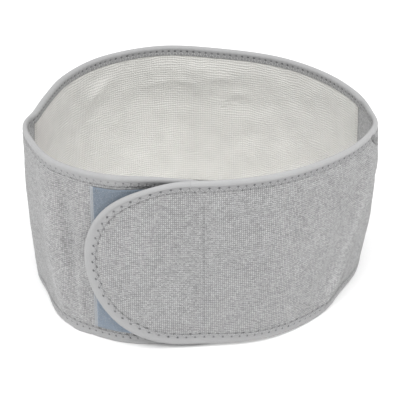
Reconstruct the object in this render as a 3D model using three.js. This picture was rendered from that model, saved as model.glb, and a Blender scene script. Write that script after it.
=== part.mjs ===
// Waist warmer belt: one long soft strip wrapped round into a ring. Its round tab fastens over the
// other end at the front left, on a blue loop patch. Millimetres, +Z up. The belt stands on its
// lower edge and faces -Y, and the origin is the middle of its footprint.
import * as THREE from 'three';

// Ring, measured at the middle of the cloth
const RING_WIDTH = 267;
const RING_DEPTH = 243;
const BELT_HEIGHT = 140;

// Cloth, and the gap left between pieces that touch
const SHELL_THICKNESS = 2.4;
const LINING_THICKNESS = 1.2;
const TAPE_THICKNESS = 1;
const TAPE_WIDTH = 10;
const TAPE_BEVEL = 0.8;
const CLEARANCE = 0.3;

// Lining panel, centred on the back and tucked under the binding
const LINING_LENGTH = 387;
const LINING_TUCK = 3;

// Fastening: the tab's tip lies at TIP_TURN, and the under end reaches OVERLAP_LENGTH beyond it
const TIP_TURN = 236;
const OVERLAP_LENGTH = 90;
const TAB_ROUND = 75;
const TAB_RISE = 3;
const UNDER_CORNER = 14;
const RAMP_LEAD = 6;
const RAMP_LENGTH = 100;
const LOOP_THICKNESS = 1.5;
const LOOP_BORDER = 3;
const HOOK_THICKNESS = 1.5;
const HOOK_BORDER = 4;
const HOOK_LENGTH = 52;

// Upright sections round the ring. turn is in degrees from +X, seen from above. foot and rim are
// how far out the lower and upper edges lie, as shares of half the ring's width and depth.
const SECTIONS = [
  { turn: -13, foot: 0.98, rim: 1.032 },
  { turn: -3, foot: 0.995, rim: 1.0 },
  { turn: 12, foot: 0.991, rim: 0.972 },
  { turn: 33, foot: 0.975, rim: 0.947 },
  { turn: 56, foot: 0.968, rim: 0.945 },
  { turn: 80, foot: 0.976, rim: 0.95 },
  { turn: 104, foot: 0.99, rim: 1.022 },
  { turn: 128, foot: 0.99, rim: 1.01 },
  { turn: 150, foot: 0.977, rim: 0.956 },
  { turn: 170, foot: 0.975, rim: 0.924 },
  { turn: 184, foot: 0.987, rim: 0.95 },
  { turn: 194, foot: 1.0, rim: 1.012 },
  { turn: 206, foot: 1.004, rim: 1.03 },
  { turn: 224, foot: 1.068, rim: 1.057 },
  { turn: 246, foot: 1.055, rim: 1.021 },
  { turn: 270, foot: 0.96, rim: 0.974 },
  { turn: 294, foot: 0.984, rim: 0.975 },
  { turn: 316, foot: 0.981, rim: 0.993 },
  { turn: 333, foot: 0.962, rim: 1.018 },
];

// Soft folds of the wall. Each runs from foot to top, both in degrees of turn. width is the share
// of the way round that it takes, depth the share of the belt's height that it stands out.
const FOLDS = [
  { foot: 352, top: 345, width: 0.16, depth: 0.033 },
  { foot: 318, top: 345, width: 0.045, depth: 0.022 },
  { foot: 331, top: 357, width: 0.03, depth: -0.014 },
  { foot: 198, top: 196, width: 0.16, depth: 0.018 },
  { foot: 224, top: 221, width: 0.045, depth: 0.016 },
  { foot: 118, top: 112, width: 0.07, depth: 0.016 },
  { foot: 74, top: 84, width: 0.07, depth: -0.014 },
];

// Facets: a new column at each of these lengths or bends, whichever is used up first
const COLUMN_LENGTH = 9.5;
const COLUMN_BEND = THREE.MathUtils.degToRad(13);
const SAMPLES = 1800;
const ROW_SHARES = [0, 0.08, 0.28, 0.5, 0.72, 0.92, 1];
const ROUND_STEP = THREE.MathUtils.degToRad(7.5);
const CORNER_STEPS = 4;

// Offsets across the wall, from the middle of the shell, positive outwards
const SHELL_FACE = SHELL_THICKNESS / 2;
const LINING_FACE = SHELL_FACE + CLEARANCE + LINING_THICKNESS;
const LOOP_FACE = SHELL_FACE + CLEARANCE + LOOP_THICKNESS;
const HOOK_FACE = SHELL_FACE + CLEARANCE + HOOK_THICKNESS;
const TAPE_FACE = SHELL_FACE + CLEARANCE + TAPE_THICKNESS;
const LAYER_STEP = Math.max(LOOP_FACE, TAPE_FACE) + CLEARANCE + Math.max(HOOK_FACE, TAPE_FACE);
const SHELL_INSET = TAPE_THICKNESS + CLEARANCE;

function smooth(share) {
  const t = THREE.MathUtils.clamp(share, 0, 1);
  return t * t * (3 - 2 * t);
}

// Plan curves of the lower and upper edge, and the columns where the wall's facets meet

function edgeCurve(column) {
  const points = SECTIONS.map((section) => {
    const turn = THREE.MathUtils.degToRad(section.turn);
    const x = (section[column] * Math.cos(turn) * RING_WIDTH) / 2;
    const y = (section[column] * Math.sin(turn) * RING_DEPTH) / 2;
    return new THREE.Vector3(x, y, 0);
  });
  return new THREE.CatmullRomCurve3(points, true, 'centripetal');
}

const FOOT_CURVE = edgeCurve('foot');
const RIM_CURVE = edgeCurve('rim');

// Place on the plan curves, from 0 to 1, of a direction given in degrees
function placeOfTurn(degrees) {
  const first = SECTIONS[0].turn;
  const turn = THREE.MathUtils.euclideanModulo(degrees - first, 360) + first;
  const count = SECTIONS.length;
  for (let i = 0; i < count; i += 1) {
    const next = i + 1 < count ? SECTIONS[i + 1].turn : first + 360;
    if (turn <= next) return (i + (turn - SECTIONS[i].turn) / (next - SECTIONS[i].turn)) / count;
  }
  return 0;
}

// Fine walk once round from the tab's tip: distance along the strip and direction at each step
function walkRing() {
  const start = placeOfTurn(TIP_TURN);
  const steps = [];
  let length = 0;
  let last = null;
  for (let i = 0; i <= SAMPLES; i += 1) {
    const place = (start + i / SAMPLES) % 1;
    const foot = FOOT_CURVE.getPoint(place);
    const rim = RIM_CURVE.getPoint(place);
    const middle = foot.clone().lerp(rim, 0.5);
    if (last) length += middle.distanceTo(last);
    last = middle;
    steps.push({ place, foot, rim, middle, s: length });
  }
  for (let i = 0; i <= SAMPLES; i += 1) {
    const before = steps[(i - 1 + SAMPLES) % SAMPLES].middle;
    const after = steps[(i + 1) % SAMPLES].middle;
    const along = after.clone().sub(before).normalize();
    steps[i].out = new THREE.Vector3(along.y, -along.x, 0);
  }
  return steps;
}

const WALK = walkRing();
const LOOP_LENGTH = WALK[SAMPLES].s;
const STRIP_END = LOOP_LENGTH + OVERLAP_LENGTH;

function pickColumns() {
  const columns = [WALK[0]];
  let used = 0;
  for (let i = 1; i < SAMPLES; i += 1) {
    const bend = WALK[i].out.angleTo(WALK[i - 1].out);
    used += (WALK[i].s - WALK[i - 1].s) / COLUMN_LENGTH + bend / COLUMN_BEND;
    if (used >= 1) {
      columns.push(WALK[i]);
      used = 0;
    }
  }
  columns.push(WALK[SAMPLES]);
  return columns;
}

const COLUMNS = pickColumns();

function distanceOfTurn(degrees) {
  const place = placeOfTurn(degrees);
  return WALK.reduce((best, step) => (
    Math.abs(step.place - place) < Math.abs(best.place - place) ? step : best
  )).s;
}

// Wall surface

const FOLD_LINES = FOLDS.map((fold) => ({
  foot: distanceOfTurn(fold.foot),
  top: distanceOfTurn(fold.top),
  reach: (fold.width * LOOP_LENGTH) / 2,
  depth: fold.depth * BELT_HEIGHT,
}));

// How far the folds push the wall out. They die away at both edges, which the binding holds.
function foldDepth(s, share) {
  const held = Math.sin(Math.PI * THREE.MathUtils.clamp(share, 0, 1));
  let depth = 0;
  for (const line of FOLD_LINES) {
    const middle = THREE.MathUtils.lerp(line.foot, line.top, share);
    const gap = THREE.MathUtils.euclideanModulo(s - middle + LOOP_LENGTH / 2, LOOP_LENGTH);
    const away = Math.abs(gap - LOOP_LENGTH / 2) / line.reach;
    depth += line.depth * held * smooth(1 - away);
  }
  return depth;
}

// 1 where the strip lies over its own under end, easing to 0 beyond it and on the under end
function layerShare(s) {
  if (s >= LOOP_LENGTH) return 0;
  return 1 - smooth((s - OVERLAP_LENGTH - RAMP_LEAD) / RAMP_LENGTH);
}

function columnPoint(column, s, z, offset) {
  const share = z / BELT_HEIGHT;
  const layer = layerShare(s);
  const point = column.foot.clone().lerp(column.rim, share);
  point.addScaledVector(column.out, offset + LAYER_STEP * layer + foldDepth(column.s, share));
  point.z = z + TAB_RISE * layer;
  return point;
}

// Point of the wrapped strip: s along it from the tab's tip, z up it, offset across the wall.
// It is straight between columns, so pieces laid on each other keep their gap.
function bend(s, z, offset) {
  const lap = s < LOOP_LENGTH ? 0 : LOOP_LENGTH;
  const here = s - lap;
  let next = COLUMNS.findIndex((column) => column.s > here);
  if (next < 0) next = COLUMNS.length - 1;
  const from = COLUMNS[next - 1];
  const to = COLUMNS[next];
  const last = lap + to.s >= LOOP_LENGTH && lap === 0 ? LOOP_LENGTH - 1e-6 : lap + to.s;
  const start = columnPoint(from, lap + from.s, z, offset);
  const end = columnPoint(to, last, z, offset);
  return start.lerp(end, (here - from.s) / (to.s - from.s));
}

// Columns between two distances, with both ends and any other wanted places among them
function columnsBetween(first, last, wanted = []) {
  const fixed = [first, last, ...wanted].filter((s) => s >= first && s <= last);
  const shared = [];
  for (const lap of [0, LOOP_LENGTH]) {
    for (const column of COLUMNS.slice(0, -1)) shared.push(lap + column.s);
  }
  const free = shared.filter((s) => (
    s > first && s < last && fixed.every((place) => Math.abs(place - s) > 1)
  ));
  return [...new Set([...fixed, ...free])].sort((a, b) => a - b);
}

// Solids

function meshFromFaces(name, points, faces, look) {
  const corners = faces.flat().flatMap((index) => points[index].toArray());
  const geometry = new THREE.BufferGeometry();
  geometry.setAttribute('position', new THREE.Float32BufferAttribute(corners, 3));
  geometry.computeVertexNormals();
  const mesh = new THREE.Mesh(geometry, new THREE.MeshStandardMaterial({ metalness: 0, ...look }));
  mesh.name = name;
  return mesh;
}

// Closed loops of points, one after another, joined by facets. From the turned-over point of the
// loop on, each facet pair is split along its other diagonal.
function skinLoops(loops, closedRound, turnedOver = loops[0].length) {
  const size = loops[0].length;
  const faces = [];
  const joins = closedRound ? loops.length : loops.length - 1;
  for (let i = 0; i < joins; i += 1) {
    const a = i * size;
    const b = ((i + 1) % loops.length) * size;
    for (let k = 0; k < size; k += 1) {
      const n = (k + 1) % size;
      if (k < turnedOver) faces.push([a + k, b + k, b + n], [a + k, b + n, a + n]);
      else faces.push([a + k, b + k, a + n], [b + k, b + n, a + n]);
    }
  }
  return faces;
}

// Flat panel bent onto the wall. bottom and top give its lower and upper edge at each column. Its
// inside is split along the same diagonals as its outside, so panels nest without touching.
function panel(name, columns, bottom, top, inner, outer, look) {
  const loops = columns.map((s) => {
    const heights = ROW_SHARES.map((share) => THREE.MathUtils.lerp(bottom(s), top(s), share));
    const outside = heights.map((z) => bend(s, z, outer));
    const inside = heights.map((z) => bend(s, z, inner)).reverse();
    return [...outside, ...inside];
  });
  const size = loops[0].length;
  const rows = ROW_SHARES.length;
  const faces = skinLoops(loops, false, rows);
  for (let k = 0; k < rows - 1; k += 1) {
    const across = size - 1 - k;
    faces.push([k, k + 1, across - 1], [k, across - 1, across]);
    const end = (loops.length - 1) * size;
    faces.push([end + k, end + across - 1, end + k + 1], [end + k, end + across, end + across - 1]);
  }
  return meshFromFaces(name, loops.flat(), faces, look);
}

// Half height of the tab's round end, drawn inset from its edge, at a distance from the tip
function roundHalfHeight(s, inset) {
  const along = THREE.MathUtils.clamp((TAB_ROUND - s) / (TAB_ROUND - inset), 0, 1);
  return (BELT_HEIGHT / 2 - inset) * Math.sqrt(1 - along * along);
}

// Distances from the tip of the columns that draw the round end
function roundColumns(inset) {
  const places = [];
  for (let turn = ROUND_STEP; turn < Math.PI / 2; turn += ROUND_STEP) {
    places.push(TAB_ROUND - (TAB_ROUND - inset) * Math.cos(turn));
  }
  return places;
}

// Half height of the under end, whose corners are rounded, at a distance from the tip
function underHalfHeight(s, inset) {
  const radius = UNDER_CORNER - inset;
  const into = THREE.MathUtils.clamp((s - (STRIP_END - UNDER_CORNER)) / radius, 0, 1);
  return BELT_HEIGHT / 2 - inset - radius * (1 - Math.sqrt(1 - into * into));
}

function underColumns(inset) {
  const radius = UNDER_CORNER - inset;
  const places = [];
  for (let step = 0; step < CORNER_STEPS; step += 1) {
    const turn = (step / CORNER_STEPS) * (Math.PI / 2);
    places.push(STRIP_END - UNDER_CORNER + radius * Math.sin(turn));
  }
  return places;
}

function makeShell() {
  const rounded = roundColumns(SHELL_INSET);
  const columns = columnsBetween(rounded[0], STRIP_END - SHELL_INSET, [
    ...rounded,
    ...underColumns(SHELL_INSET),
  ]);
  const half = (s) => Math.min(roundHalfHeight(s, SHELL_INSET), underHalfHeight(s, SHELL_INSET));
  const bottom = (s) => BELT_HEIGHT / 2 - half(s);
  const top = (s) => BELT_HEIGHT / 2 + half(s);
  const look = { color: 0xacacac, roughness: 0.95 };
  return panel('shell_band', columns, bottom, top, -SHELL_FACE, SHELL_FACE, look);
}

// The lining is centred where the ring reaches furthest back
const BACK_MIDDLE = WALK.reduce((best, step) => (step.middle.y > best.middle.y ? step : best)).s;
const LINING_START = BACK_MIDDLE - LINING_LENGTH / 2;
const LINING_END = BACK_MIDDLE + LINING_LENGTH / 2;

function makeLining() {
  const columns = columnsBetween(LINING_START, LINING_END);
  const outer = -SHELL_FACE - CLEARANCE;
  const look = { color: 0xcac9c5, roughness: 0.9 };
  return panel(
    'back_lining', columns, () => LINING_TUCK, () => BELT_HEIGHT - LINING_TUCK,
    outer - LINING_THICKNESS, outer, look,
  );
}

function makeLoopPatch() {
  const edge = TAPE_WIDTH + CLEARANCE;
  const last = STRIP_END - Math.max(edge, UNDER_CORNER);
  const columns = columnsBetween(LOOP_LENGTH + LOOP_BORDER / 2, last);
  const inner = SHELL_FACE + CLEARANCE;
  const look = { color: 0x9099a3, roughness: 0.95 };
  return panel(
    'loop_patch', columns, () => edge, () => BELT_HEIGHT - edge, inner, inner + LOOP_THICKNESS, look,
  );
}

function makeHookPatch() {
  const inset = TAPE_WIDTH + HOOK_BORDER;
  const rounded = roundColumns(inset).filter((s) => s < inset + HOOK_LENGTH);
  const columns = columnsBetween(rounded[0], inset + HOOK_LENGTH, rounded);
  const bottom = (s) => BELT_HEIGHT / 2 - roundHalfHeight(s, inset);
  const top = (s) => BELT_HEIGHT / 2 + roundHalfHeight(s, inset);
  const outer = -SHELL_FACE - CLEARANCE;
  const look = { color: 0x8f8f92, roughness: 0.7 };
  return panel('hook_patch', columns, bottom, top, outer - HOOK_THICKNESS, outer, look);
}

// Binding: a folded tape carried once round the strip's edge

// Offset of the face that the tape's inner leg lies on: the lining where there is one
function backingFace(s) {
  const covered = smooth((s - LINING_START) / COLUMN_LENGTH + 1);
  const left = smooth((LINING_END - s) / COLUMN_LENGTH + 1);
  return THREE.MathUtils.lerp(SHELL_FACE, LINING_FACE, Math.min(covered, left));
}

// The strip's outline, with the direction out of the strip at each point
function edgeRoute() {
  const half = BELT_HEIGHT / 2;
  const route = [];
  for (let turn = Math.PI / 2 + ROUND_STEP; turn < 1.5 * Math.PI - 0.01; turn += ROUND_STEP) {
    const s = TAB_ROUND + TAB_ROUND * Math.cos(turn);
    const out = new THREE.Vector2(Math.cos(turn) / TAB_ROUND, Math.sin(turn) / half).normalize();
    route.push({ s, z: half + half * Math.sin(turn), out });
  }
  const ramps = [
    LINING_START - COLUMN_LENGTH, LINING_START, LINING_END, LINING_END + COLUMN_LENGTH,
  ];
  const cornerAt = STRIP_END - UNDER_CORNER;
  const straight = columnsBetween(TAB_ROUND, cornerAt, ramps);
  for (const s of straight) route.push({ s, z: 0, out: new THREE.Vector2(0, -1) });
  for (const side of [-1, 1]) {
    for (let step = 1; step <= CORNER_STEPS; step += 1) {
      const share = side < 0 ? step - CORNER_STEPS : step - 1;
      const turn = (share / CORNER_STEPS) * (Math.PI / 2);
      const out = new THREE.Vector2(Math.cos(turn), Math.sin(turn));
      const centre = half + side * (half - UNDER_CORNER);
      route.push({ s: cornerAt + UNDER_CORNER * out.x, z: centre + UNDER_CORNER * out.y, out });
    }
  }
  for (const s of straight.reverse()) route.push({ s, z: BELT_HEIGHT, out: new THREE.Vector2(0, 1) });
  return route;
}

// Section of the tape at a point of the outline: how far in from the edge, and how far across
function tapeSection(s) {
  const backing = -backingFace(s);
  const outerFace = TAPE_FACE;
  const innerFace = backing - CLEARANCE - TAPE_THICKNESS;
  return [
    [TAPE_WIDTH, outerFace - TAPE_THICKNESS],
    [TAPE_THICKNESS, outerFace - TAPE_THICKNESS],
    [TAPE_THICKNESS, innerFace + TAPE_THICKNESS],
    [TAPE_WIDTH, innerFace + TAPE_THICKNESS],
    [TAPE_WIDTH, innerFace],
    [TAPE_BEVEL, innerFace],
    [0, innerFace + TAPE_BEVEL],
    [0, outerFace - TAPE_BEVEL],
    [TAPE_BEVEL, outerFace],
    [TAPE_WIDTH, outerFace],
  ];
}

function makeBinding() {
  const loops = edgeRoute().map(({ s, z, out }) => tapeSection(s).map(([inset, offset]) => (
    bend(s - inset * out.x, z - inset * out.y, offset)
  )));
  const look = { color: 0xb8b8b9, roughness: 0.75 };
  return meshFromFaces('edge_binding', loops.flat(), skinLoops(loops, true), look);
}

// Belt, moved so that the origin is the middle of its footprint

const belt = new THREE.Group();
belt.add(makeShell(), makeLining(), makeBinding(), makeLoopPatch(), makeHookPatch());
const middle = new THREE.Box3().setFromObject(belt).getCenter(new THREE.Vector3());
belt.position.set(-middle.x, -middle.y, 0);

export default belt;
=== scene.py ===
"""Looks of the waist warmer belt: knitted strip, lining, rolled binding, zigzag stitches and patches.

The strip is drawn in its own flat measures, in millimetres: s along it from the tab's tip, z up it
and an offset across it. wall() bends those onto the ring that the CAD model stands in.
"""

import math

import bmesh
import bpy
import numpy as np
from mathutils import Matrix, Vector


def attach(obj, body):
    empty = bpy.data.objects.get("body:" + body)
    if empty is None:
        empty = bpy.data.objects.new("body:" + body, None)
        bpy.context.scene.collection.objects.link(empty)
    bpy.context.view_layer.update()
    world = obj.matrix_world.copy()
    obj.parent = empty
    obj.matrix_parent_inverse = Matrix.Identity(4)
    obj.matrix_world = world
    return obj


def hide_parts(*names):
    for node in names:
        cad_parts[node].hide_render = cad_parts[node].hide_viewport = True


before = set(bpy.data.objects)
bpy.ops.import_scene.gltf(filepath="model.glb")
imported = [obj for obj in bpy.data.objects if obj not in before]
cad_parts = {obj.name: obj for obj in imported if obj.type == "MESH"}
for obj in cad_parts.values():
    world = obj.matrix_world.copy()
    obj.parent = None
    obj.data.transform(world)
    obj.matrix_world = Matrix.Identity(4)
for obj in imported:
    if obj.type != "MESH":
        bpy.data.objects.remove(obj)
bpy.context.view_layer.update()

MM = 0.001
FULL_TURN = 2 * math.pi

# Camera, 30 degrees down on the front
camera_data = bpy.data.cameras.new("camera")
camera_data.lens = 97.05
camera_data.sensor_width = 36.0
camera_data.shift_x = 0.00437
camera_data.shift_y = -0.0341
camera = bpy.data.objects.new("camera", camera_data)
camera.location = (-0.00213, -0.75841, 0.50605)
camera.rotation_euler = (math.radians(60), 0, 0)
bpy.context.scene.collection.objects.link(camera)
bpy.context.scene.camera = camera

# Sizes of the belt, in millimetres, as the CAD model has them
RING_WIDTH = 267.0
RING_DEPTH = 243.0
HEIGHT = 140.0
RING_SHIFT = np.array([-2.133, 2.131])  # puts the middle of the footprint at the origin
SHELL_HALF = 1.2
LINING_THICKNESS = 1.2
TAPE_THICKNESS = 1.0
CLEARANCE = 0.3
LINING_LENGTH = 387.0
LINING_TUCK = 3.0
TIP_TURN = 236.0
OVERLAP_LENGTH = 90.0
TAB_ROUND = 75.0
TAB_RISE = 3.0
UNDER_CORNER = 14.0
RAMP_LEAD = 6.0
RAMP_LENGTH = 100.0
LAYER_STEP = 6.3
LINING_FACE = SHELL_HALF + CLEARANCE + LINING_THICKNESS

# turn in degrees, share of the ring's half size at the foot, and at the rim
SECTIONS = [
    (-13, 0.98, 1.032), (-3, 0.995, 1.0), (12, 0.991, 0.972), (33, 0.975, 0.947),
    (56, 0.968, 0.945), (80, 0.976, 0.95), (104, 0.99, 1.022), (128, 0.99, 1.01),
    (150, 0.977, 0.956), (170, 0.975, 0.924), (184, 0.987, 0.95), (194, 1.0, 1.012),
    (206, 1.004, 1.03), (224, 1.068, 1.057), (246, 1.055, 1.021), (270, 0.96, 0.974),
    (294, 0.984, 0.975), (316, 0.981, 0.993), (333, 0.962, 1.018),
]
# turn at the foot, turn at the top, share of the way round, share of the height stood out
FOLDS = [
    (352, 345, 0.16, 0.033), (318, 345, 0.045, 0.022), (331, 357, 0.03, -0.014),
    (198, 196, 0.16, 0.018), (224, 221, 0.045, 0.016), (118, 112, 0.07, 0.016),
    (74, 84, 0.07, -0.014),
]


def smooth(share):
    t = np.clip(share, 0, 1)
    return t * t * (3 - 2 * t)


def edge_curve(column, count):
    """Closed centripetal Catmull-Rom curve through one column of SECTIONS."""
    turns = np.radians([row[0] for row in SECTIONS])
    shares = np.array([row[column] for row in SECTIONS])
    half = np.array([RING_WIDTH, RING_DEPTH]) / 2
    points = np.stack([np.cos(turns), np.sin(turns)], axis=1) * shares[:, None] * half
    place = np.arange(count) / count * len(SECTIONS)
    cell = np.floor(place).astype(int)
    t = (place - cell)[:, None]
    p0, p1, p2, p3 = (points[(cell + k) % len(SECTIONS)] for k in (-1, 0, 1, 2))
    d0, d1, d2 = (
        np.sqrt(np.linalg.norm(b - a, axis=1))[:, None] for a, b in ((p0, p1), (p1, p2), (p2, p3))
    )
    m1 = ((p1 - p0) / d0 - (p2 - p0) / (d0 + d1) + (p2 - p1) / d1) * d1
    m2 = ((p2 - p1) / d1 - (p3 - p1) / (d1 + d2) + (p3 - p2) / d2) * d1
    return p1 + m1 * t + (-3 * p1 + 3 * p2 - 2 * m1 - m2) * t**2 + (2 * p1 - 2 * p2 + m1 + m2) * t**3


def place_of_turn(degrees):
    first = SECTIONS[0][0]
    turns = [row[0] for row in SECTIONS] + [first + 360]
    turn = (degrees - first) % 360 + first
    return float(np.interp(turn, turns, np.arange(len(turns)))) / len(SECTIONS)


def walk_ring(count=7600):
    """Once round the ring from the tab's tip: distance, foot, rim and outward direction."""
    foot, rim = edge_curve(1, count), edge_curve(2, count)
    start = int(round(place_of_turn(TIP_TURN) * count))
    foot, rim = np.roll(foot, -start, axis=0), np.roll(rim, -start, axis=0)
    middle = (foot + rim) / 2
    step = np.linalg.norm(np.roll(middle, -1, axis=0) - middle, axis=1)
    s = np.concatenate([[0], np.cumsum(step)])
    along = np.roll(middle, -12, axis=0) - np.roll(middle, 12, axis=0)
    along /= np.linalg.norm(along, axis=1)[:, None]
    out = np.stack([along[:, 1], -along[:, 0]], axis=1)
    close = [0]
    return s, *(np.concatenate([a, a[close]]) for a in (foot, rim, out)), start / count


WALK_S, WALK_FOOT, WALK_RIM, WALK_OUT, WALK_START = walk_ring()
LOOP_LENGTH = float(WALK_S[-1])
STRIP_END = LOOP_LENGTH + OVERLAP_LENGTH
CORNER_AT = STRIP_END - UNDER_CORNER
BACK_MIDDLE = float(WALK_S[np.argmax((WALK_FOOT + WALK_RIM)[:, 1])])
LINING_START = BACK_MIDDLE - LINING_LENGTH / 2
LINING_END = BACK_MIDDLE + LINING_LENGTH / 2


def distance_of_turn(degrees):
    share = (place_of_turn(degrees) - WALK_START) % 1
    return float(np.interp(share, np.linspace(0, 1, len(WALK_S)), WALK_S))


FOLD_LINES = [
    (distance_of_turn(foot), distance_of_turn(top), width * LOOP_LENGTH / 2, depth * HEIGHT)
    for foot, top, width, depth in FOLDS
]


def fold_depth(s, share):
    held = np.sin(math.pi * np.clip(share, 0, 1))
    depth = 0.0
    for foot, top, reach, height in FOLD_LINES:
        middle = foot + (top - foot) * share
        gap = np.mod(s - middle + LOOP_LENGTH / 2, LOOP_LENGTH) - LOOP_LENGTH / 2
        depth = depth + height * held * smooth(1 - np.abs(gap) / reach)
    return depth


def layer_share(s):
    """1 where the strip lies over its own under end, easing to 0 beyond it."""
    return np.where(s >= LOOP_LENGTH, 0.0, 1 - smooth((s - OVERLAP_LENGTH - RAMP_LEAD) / RAMP_LENGTH))


# Narrow creases of the whole wall: from (s, z) to (s, z), half width, height outwards
WALL_CREASES = [
    (235, 135, 252, 121, 1.6, -5.6),
    (252, 116, 256, 90, 12.0, 2.2), (236, 4, 200, 2, 10.0, -1.3), (790, 0, 775, 0, 10.0, 1.6),
    (715, 4, 741, 3, 8.0, -0.9),
    (748, 122, 758, 32, 7.5, 2.0), (773, 124, 780, 52, 7.0, -2.6), (237, 96, 215, 46, 4.2, 1.9),
    (215, 46, 190, 9, 4.2, 1.9), (246, 100, 228, 50, 5.0, -1.1), (199, 60, 176, 20, 6.0, -1.0),
    (300, 110, 290, 30, 9.0, 0.8), (320, 110, 312, 30, 9.0, -0.8),
]

# The same for the under end, with s counted from its start: its rim curls over
UNDER_CREASES = [(32, 127.5, 66, 128.5, 6.0, -3.6)]


def creases(s, z, lines):
    depth = 0.0
    for s0, z0, s1, z1, width, height in lines:
        along = np.array([s1 - s0, z1 - z0], dtype=float)
        length = np.hypot(*along)
        ds, dz = s - s0, z - z0
        t = np.clip((ds * along[0] + dz * along[1]) / length**2, 0, 1)
        gap = np.hypot(ds - t * along[0], dz - t * along[1]) / width
        depth = depth + height * np.exp(-(gap**2)) * (0.45 + 0.55 * np.sin(math.pi * t))
    return depth


# The tab's top edge hangs a little, and the under end's rim stands up beside it
TIP_DROP = 1.4
TIP_DROP_AT = 42.0
TIP_DROP_REACH = 22.0
UNDER_LIFT = 2.3
UNDER_LIFT_AT = LOOP_LENGTH + 48.0
UNDER_LIFT_REACH = 26.0


def wall(s, z, offset):
    """Points of the bent strip, in millimetres, for arrays of strip measures."""
    s, z, offset = np.broadcast_arrays(*(np.asarray(a, dtype=float) for a in (s, z, offset)))
    here = np.mod(s, LOOP_LENGTH)
    share = z / HEIGHT
    layer = layer_share(s)
    push = offset + LAYER_STEP * layer + fold_depth(here, share)
    bent = np.where(s < LOOP_LENGTH, creases(here, z, WALL_CREASES), creases(here, z, UNDER_CREASES))
    push = push + bent
    xy = [
        np.interp(here, WALK_S, WALK_FOOT[:, k]) * (1 - share)
        + np.interp(here, WALK_S, WALK_RIM[:, k]) * share
        + np.interp(here, WALK_S, WALK_OUT[:, k]) * push
        + RING_SHIFT[k]
        for k in (0, 1)
    ]
    drop = TIP_DROP * np.exp(-(((s - TIP_DROP_AT) / TIP_DROP_REACH) ** 2)) * share**2
    lift = UNDER_LIFT * np.exp(-(((s - UNDER_LIFT_AT) / UNDER_LIFT_REACH) ** 2))
    return np.stack([*xy, z + TAB_RISE * layer - drop + lift * share**2], axis=-1)


# The strip's outline, with the distance along it and the stitches counted along it
HALF = HEIGHT / 2
STITCH_ON_ROUND = 7.9
STITCH_ON_TAB = 6.7
STITCH_ELSEWHERE = 5.5
ROUTE_STEP = 0.92

ROUND_TURNS = np.linspace(math.pi / 2, 1.5 * math.pi, 721)
ROUND_POINTS = np.stack(
    [TAB_ROUND + TAB_ROUND * np.cos(ROUND_TURNS), HALF + HALF * np.sin(ROUND_TURNS)], axis=1
)
ROUND_LENGTHS = np.concatenate(
    [[0], np.cumsum(np.linalg.norm(np.diff(ROUND_POINTS, axis=0), axis=1))]
)
ROUND_LENGTH = ROUND_LENGTHS[-1]
STRAIGHT = CORNER_AT - TAB_ROUND
QUARTER = math.pi / 2 * UNDER_CORNER
END_EDGE = HEIGHT - 2 * UNDER_CORNER
AT = np.cumsum([0, ROUND_LENGTH, STRAIGHT, QUARTER, END_EDGE, QUARTER, STRAIGHT])
OUTLINE_LENGTH = AT[-1]


def outline(a):
    """Place on the outline (s, z) and direction out of the strip (s, z) at distances a."""
    a = np.mod(a, OUTLINE_LENGTH)
    s, z, ds, dz = (np.zeros_like(a) for _ in range(4))
    part = np.searchsorted(AT, a, side="right") - 1
    m = part == 0
    turn = np.interp(a[m], ROUND_LENGTHS, ROUND_TURNS)
    s[m], z[m] = TAB_ROUND * (1 + np.cos(turn)), HALF * (1 + np.sin(turn))
    ds[m], dz[m] = np.cos(turn) / TAB_ROUND, np.sin(turn) / HALF
    m = part == 1
    s[m], z[m], dz[m] = TAB_ROUND + a[m] - AT[1], 0, -1
    m = part == 2
    turn = (a[m] - AT[2]) / UNDER_CORNER
    s[m], z[m] = CORNER_AT + UNDER_CORNER * np.sin(turn), UNDER_CORNER * (1 - np.cos(turn))
    ds[m], dz[m] = np.sin(turn), -np.cos(turn)
    m = part == 3
    s[m], z[m], ds[m] = STRIP_END, UNDER_CORNER + a[m] - AT[3], 1
    m = part == 4
    turn = (a[m] - AT[4]) / UNDER_CORNER
    s[m] = CORNER_AT + UNDER_CORNER * np.cos(turn)
    z[m] = HEIGHT - UNDER_CORNER * (1 - np.sin(turn))
    ds[m], dz[m] = np.cos(turn), np.sin(turn)
    m = part >= 5
    s[m], z[m], dz[m] = CORNER_AT - (a[m] - AT[5]), HEIGHT, 1
    size = np.hypot(ds, dz)
    return s, z, ds / size, dz / size


def count_stitches():
    a = np.linspace(0, OUTLINE_LENGTH, 4001)
    s = outline(a)[0]
    tab = 1 - smooth((s - 95) / 20)
    rounded = 1 - smooth((s - 45) / 30)
    pitch = STITCH_ELSEWHERE + (STITCH_ON_TAB - STITCH_ELSEWHERE) * tab
    pitch = pitch + (STITCH_ON_ROUND - STITCH_ON_TAB) * rounded
    rate = 1 / pitch
    total = np.concatenate([[0], np.cumsum((rate[1:] + rate[:-1]) / 2 * np.diff(a))])
    whole = round(total[-1])
    return a, total * whole / total[-1], whole


STITCH_AT, STITCH_COUNTS, STITCHES = count_stitches()


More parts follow.
